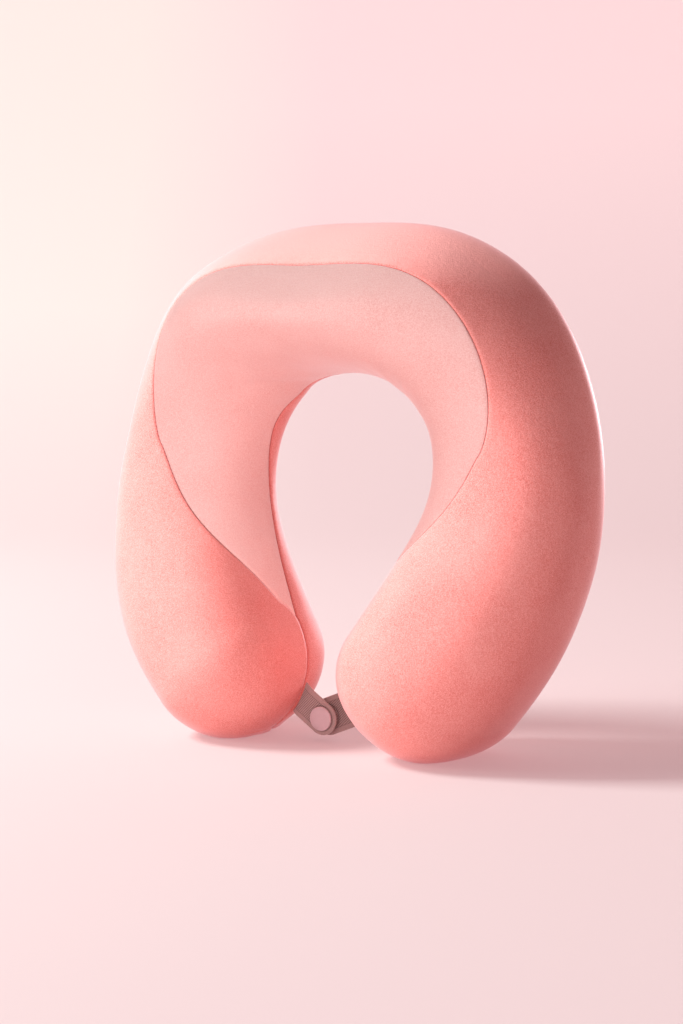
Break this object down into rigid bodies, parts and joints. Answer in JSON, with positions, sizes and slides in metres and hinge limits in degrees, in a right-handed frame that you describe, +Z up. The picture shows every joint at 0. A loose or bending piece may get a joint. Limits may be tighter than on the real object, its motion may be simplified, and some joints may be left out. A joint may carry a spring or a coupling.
{
  "type": "neck pillow",
  "caption": "U-shaped memory-foam travel neck pillow with a zipped two-tone cloth cover and a press-snap webbing tab on each arm, standing on its arm tips.",
  "frame": {"origin": "on the floor under the middle of the bounding box, between the two arm tips", "axes": "+X to the right, +Z up through the nape, the front faces -Y and the flat back faces +Y"},
  "size_m": [0.2984, 0.1125, 0.2882],
  "materials": {
    "foam": "open-cell memory foam, matt",
    "liner_cloth": "thin white knit",
    "coral_velour": "short-pile velour, soft sheen",
    "pink_velour": "short-pile velour, soft sheen",
    "webbing": "grey-mauve herringbone webbing",
    "zip_tape": "woven coral tape",
    "zip_coil": "nylon coil",
    "zip_metal": "satin rose-grey lacquer",
    "snap_plastic": "satin mauve plastic"
  },
  "bodies": {
    "left_half": {"foam_core_left": "foam", "liner_left": "liner_cloth", "outer_panel_left": "coral_velour", "inset_panel_left": "pink_velour", "back_panel_left": "coral_velour", "zip_tape_inner": "zip_tape", "zip_tape_outer": "zip_tape", "zip_coil_inner": "zip_coil", "zip_coil_outer": "zip_coil", "zip_top_stop": "zip_metal", "zip_bottom_stop": "zip_metal"},
    "right_half": {"foam_core_right": "foam", "liner_right": "liner_cloth", "outer_panel_right": "coral_velour", "inset_panel_right": "pink_velour", "back_panel_right": "coral_velour"},
    "left_tab": {"strap_left": "webbing", "snap_cap": "snap_plastic", "snap_socket": "snap_plastic"},
    "right_tab": {"strap_right": "webbing", "snap_stud": "snap_plastic", "snap_post_cap": "snap_plastic"},
    "slider": {"zip_slider": "zip_metal"},
    "pull": {"zip_pull": "zip_metal"}
  },
  "joints": [
    {"name": "nape_flex", "type": "hinge", "parent": "left_half", "child": "right_half", "pos_m": [0, 0, 0.2885], "axis": [0, -1, 0], "range_deg": [0, 30], "stiffness_Nm_per_rad": 6, "springref_deg": -2.86},
    {"name": "left_tab_fold", "type": "hinge", "parent": "left_half", "child": "left_tab", "pos_m": [-0.02288, 0.0055, 0.02142], "axis": [-0.5563, 0, -0.831], "range_deg": [0, 80]},
    {"name": "right_tab_fold", "type": "hinge", "parent": "right_half", "child": "right_tab", "pos_m": [0.02141, 0.0122, 0.02581], "axis": [0.3827, 0, -0.9239], "range_deg": [-2, 80]},
    {"name": "zip_travel", "type": "hinge", "parent": "left_half", "child": "slider", "pos_m": [0, 0.052, 0.133], "axis": [0, 1, 0], "range_deg": [0, 100]},
    {"name": "pull_swing", "type": "hinge", "parent": "slider", "child": "pull", "pos_m": [-0.09707, 0.055, 0.08566], "axis": [0.8988, 0, 0.4384], "range_deg": [0, 150]}
  ]
}
